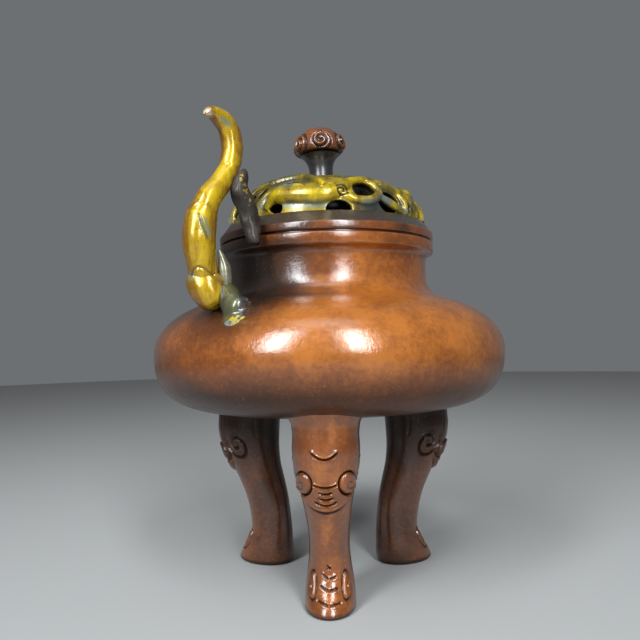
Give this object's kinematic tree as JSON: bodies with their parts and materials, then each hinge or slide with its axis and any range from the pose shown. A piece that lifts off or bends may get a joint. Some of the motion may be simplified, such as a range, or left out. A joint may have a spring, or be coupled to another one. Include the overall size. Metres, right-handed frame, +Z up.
{
  "type": "tripod incense burner",
  "caption": "Squat round lidded incense burner on cast legs, with a pierced domed lid, a scrolled knob and a branch-shaped handle on the shoulder.",
  "frame": {"origin": "on the vessel's axis, level with the soles of the feet", "axes": "+Z up; -Y towards the front leg; +X to the right as seen from the front"},
  "size_m": [0.1318, 0.1318, 0.1722],
  "materials": {
    "copper": "red-brown patinated copper alloy, satin",
    "branch_gilt": "bright fire gilding over cast bark",
    "dome_gilt": "olive gilding with pale verdigris edges",
    "dark_bronze": "dark grey-brown bronze, rubbed",
    "lid_copper": "brown copper alloy with a dark sloping band",
    "cap_copper": "copper-brown cast cap with rubbed scrolls",
    "steel": "plain"
  },
  "bodies": {
    "vessel": {"vessel": "copper", "leg_front": "copper", "leg_right": "copper", "leg_left": "copper", "handle_branch": "branch_gilt", "handle_root": "dark_bronze", "handle_twig": "dark_bronze", "handle_leaf": "branch_gilt"},
    "lid": {"lid_ring": "lid_copper", "lid_dome": "dome_gilt", "knob_stem": "dark_bronze", "knob_cap": "cap_copper", "knob_washer": "steel", "knob_nut": "steel"}
  },
  "joints": [
    {"name": "lid_lift", "type": "slide", "parent": "vessel", "child": "lid", "axis": [0, 0, 1], "range_m": [0, 0.06]}
  ]
}
